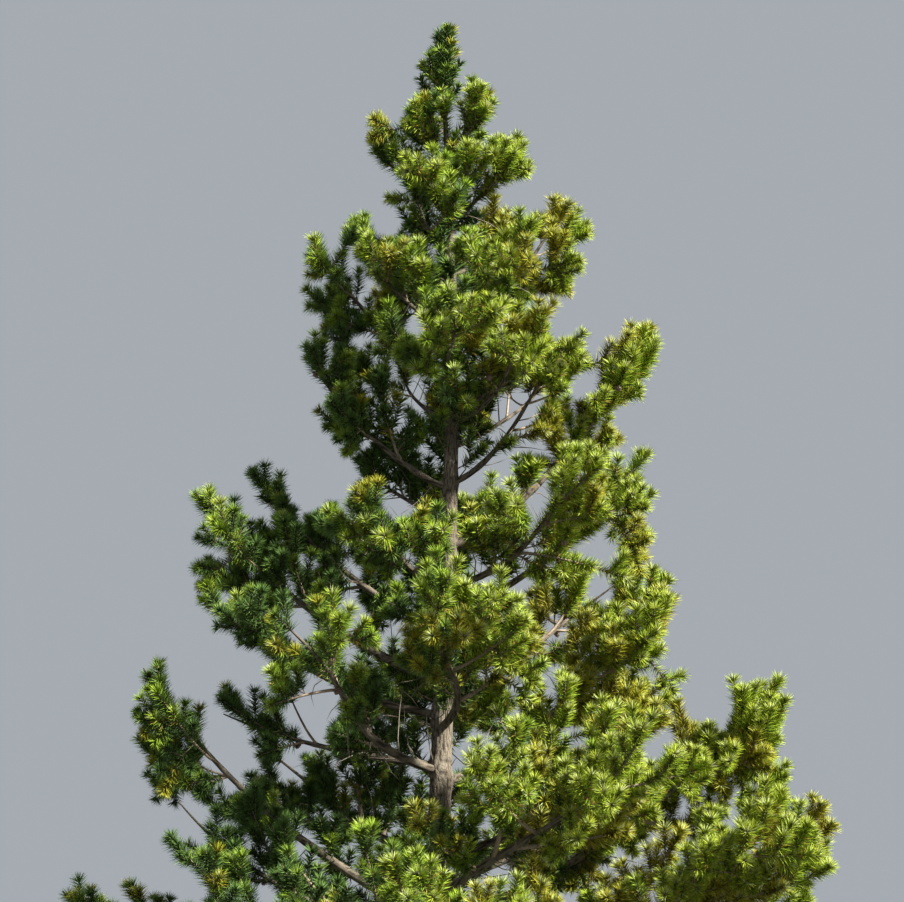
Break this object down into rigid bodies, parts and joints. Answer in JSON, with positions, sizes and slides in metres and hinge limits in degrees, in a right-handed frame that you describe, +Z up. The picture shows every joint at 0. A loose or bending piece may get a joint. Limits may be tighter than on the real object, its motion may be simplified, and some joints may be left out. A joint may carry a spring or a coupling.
{
  "type": "pine tree",
  "caption": "Grown pine tree with a tapering trunk, upswept boughs and open masses of long needles, cut flat at ground level.",
  "frame": {"origin": "middle of the flat cut under the trunk, at ground level", "axes": "+Z up the trunk, +X to the right and +Y away from a viewer at the picture's side"},
  "size_m": [6.7483, 6.3941, 12],
  "materials": {
    "bark": "rough, fissured grey-brown bark",
    "needles": "satin yellow-green needles on brown twigs"
  },
  "bodies": {
    "root": {"bough_left_crook": "bark", "bough_left_sweep": "bark", "bough_right_arch": "bark", "bough_right_elbow": "bark", "bough_right_sweep": "bark", "bough_right_tall": "bark", "mass_back_arm": "needles", "mass_back_bough": "needles", "mass_back_left_bough": "needles", "mass_back_right_arm": "needles", "mass_back_right_bough": "needles", "mass_crook_upper": "needles", "mass_crown_front": "needles", "mass_crown_left": "needles", "mass_crown_left_spur": "needles", "mass_crown_right": "needles", "mass_crown_right_arm": "needles", "mass_front_bough": "needles", "mass_front_left_arm": "needles", "mass_front_left_bough": "needles", "mass_front_right_arm": "needles", "mass_front_right_great": "needles", "mass_front_right_spray": "needles", "mass_high_back": "needles", "mass_high_front_left": "needles", "mass_high_front_right": "needles", "mass_leader": "needles", "mass_left_crook": "needles", "mass_left_hang": "needles", "mass_left_low": "needles", "mass_left_lower_front": "needles", "mass_left_spur": "needles", "mass_left_sweep": "needles", "mass_left_upper": "needles", "mass_low_back": "needles", "mass_low_back_left": "needles", "mass_low_back_right": "needles", "mass_low_front": "needles", "mass_low_front_left": "needles", "mass_low_front_right": "needles", "mass_mid_back": "needles", "mass_mid_back_left": "needles", "mass_mid_back_right": "needles", "mass_mid_front": "needles", "mass_mid_front_right": "needles", "mass_right_arch": "needles", "mass_right_elbow": "needles", "mass_right_fork": "needles", "mass_right_low": "needles", "mass_right_lower_front": "needles", "mass_right_sweep": "needles", "mass_right_tall": "needles", "mass_right_upper_spur": "needles", "mass_upper_back_right": "needles", "mass_upper_front": "needles", "mass_upper_front_left": "needles", "mass_upper_left": "needles", "mass_upper_left_spur": "needles", "mass_upper_right": "needles", "trunk": "bark"}
  },
  "joints": []
}
